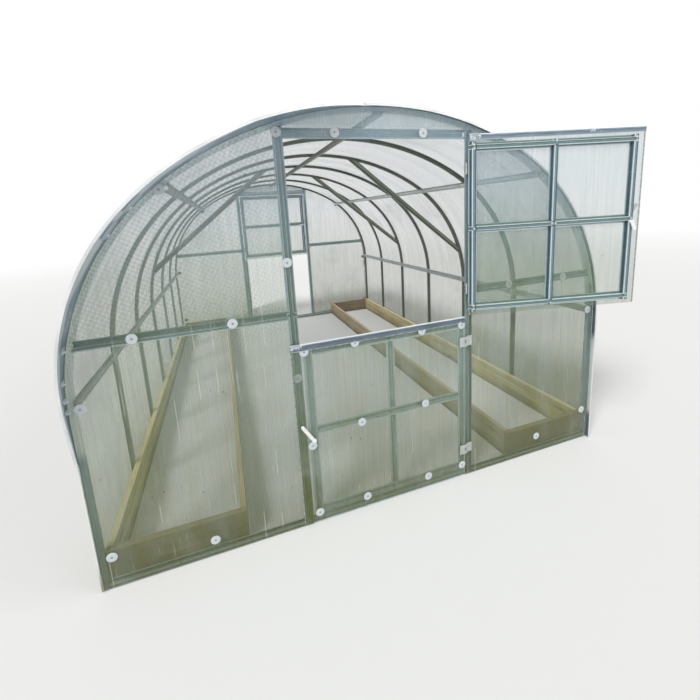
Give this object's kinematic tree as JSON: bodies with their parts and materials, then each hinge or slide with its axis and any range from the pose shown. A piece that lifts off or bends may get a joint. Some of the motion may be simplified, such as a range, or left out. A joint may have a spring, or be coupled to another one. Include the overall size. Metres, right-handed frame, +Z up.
{
  "type": "arched polycarbonate greenhouse",
  "caption": "Walk-in garden greenhouse with an arched roof of clear sheet on steel hat profiles, gables with split doors, and timber-edged beds.",
  "frame": {"origin": "centre of the ground outline, the two open door leaves counted in, at ground level", "axes": "+X to the right as seen from outside the front gable, +Y from the front gable into the house, +Z up"},
  "size_m": [3, 5.3172, 2.162],
  "materials": {
    "arch_steel": "galvanised, dulled by weather",
    "purlin_steel": "galvanised, dulled by weather",
    "gable_steel": "galvanised, satin",
    "hinge_steel": "galvanised, satin",
    "trim_metal": "thin bare strip, creased",
    "cover_polycarbonate": "clear twin wall, hazed",
    "gable_polycarbonate": "clear twin wall, hazed",
    "door_polycarbonate": "clear twin wall, hazed",
    "latch_plastic": "white, slightly chalky",
    "weathered_timber": "grey brown, damp at the foot"
  },
  "bodies": {
    "house": {"arch_2": "arch_steel", "arch_3": "arch_steel", "arch_4": "arch_steel", "arch_5": "arch_steel", "arch_6": "arch_steel", "end_bed_boards": "weathered_timber", "front_arch": "arch_steel", "front_cover": "cover_polycarbonate", "front_hinge_plates": "hinge_steel", "front_posts": "gable_steel", "front_rails": "gable_steel", "front_sheets": "gable_polycarbonate", "front_trim": "trim_metal", "inner_bed_boards": "weathered_timber", "outer_bed_boards": "weathered_timber", "rear_arch": "arch_steel", "rear_cover": "cover_polycarbonate", "rear_hinge_plates": "hinge_steel", "rear_posts": "gable_steel", "rear_rails": "gable_steel", "rear_sheets": "gable_polycarbonate", "rear_trim": "trim_metal", "ridge_purlin": "purlin_steel", "roof_braces": "purlin_steel", "roof_purlins": "purlin_steel", "side_purlins": "purlin_steel"},
    "front_lower_door": {"front_lower_door_frame": "gable_steel", "front_lower_door_hinges": "hinge_steel", "front_lower_door_latch": "latch_plastic", "front_lower_door_sheet": "door_polycarbonate"},
    "front_upper_door": {"front_upper_door_frame": "gable_steel", "front_upper_door_hinges": "hinge_steel", "front_upper_door_latch": "latch_plastic", "front_upper_door_sheet": "door_polycarbonate"},
    "rear_lower_door": {"rear_lower_door_frame": "gable_steel", "rear_lower_door_hinges": "hinge_steel", "rear_lower_door_latch": "latch_plastic", "rear_lower_door_sheet": "door_polycarbonate"},
    "rear_upper_door": {"rear_upper_door_frame": "gable_steel", "rear_upper_door_hinges": "hinge_steel", "rear_upper_door_latch": "latch_plastic", "rear_upper_door_sheet": "door_polycarbonate"}
  },
  "joints": [
    {"name": "front_lower_door_swing", "type": "hinge", "parent": "house", "child": "front_lower_door", "pos_m": [0.4867, -2.3938, 0], "axis": [0, 0, 1], "range_deg": [0, 165]},
    {"name": "front_upper_door_swing", "type": "hinge", "parent": "house", "child": "front_upper_door", "pos_m": [0.4867, -2.3938, 0], "axis": [0, 0, 1], "range_deg": [-166.3, 0]},
    {"name": "rear_lower_door_swing", "type": "hinge", "parent": "house", "child": "rear_lower_door", "pos_m": [-0.4867, 1.6342, 0], "axis": [0, 0, 1], "range_deg": [-86, 69]},
    {"name": "rear_upper_door_swing", "type": "hinge", "parent": "house", "child": "rear_upper_door", "pos_m": [-0.4867, 1.6342, 0], "axis": [0, 0, 1], "range_deg": [0, 155]}
  ]
}
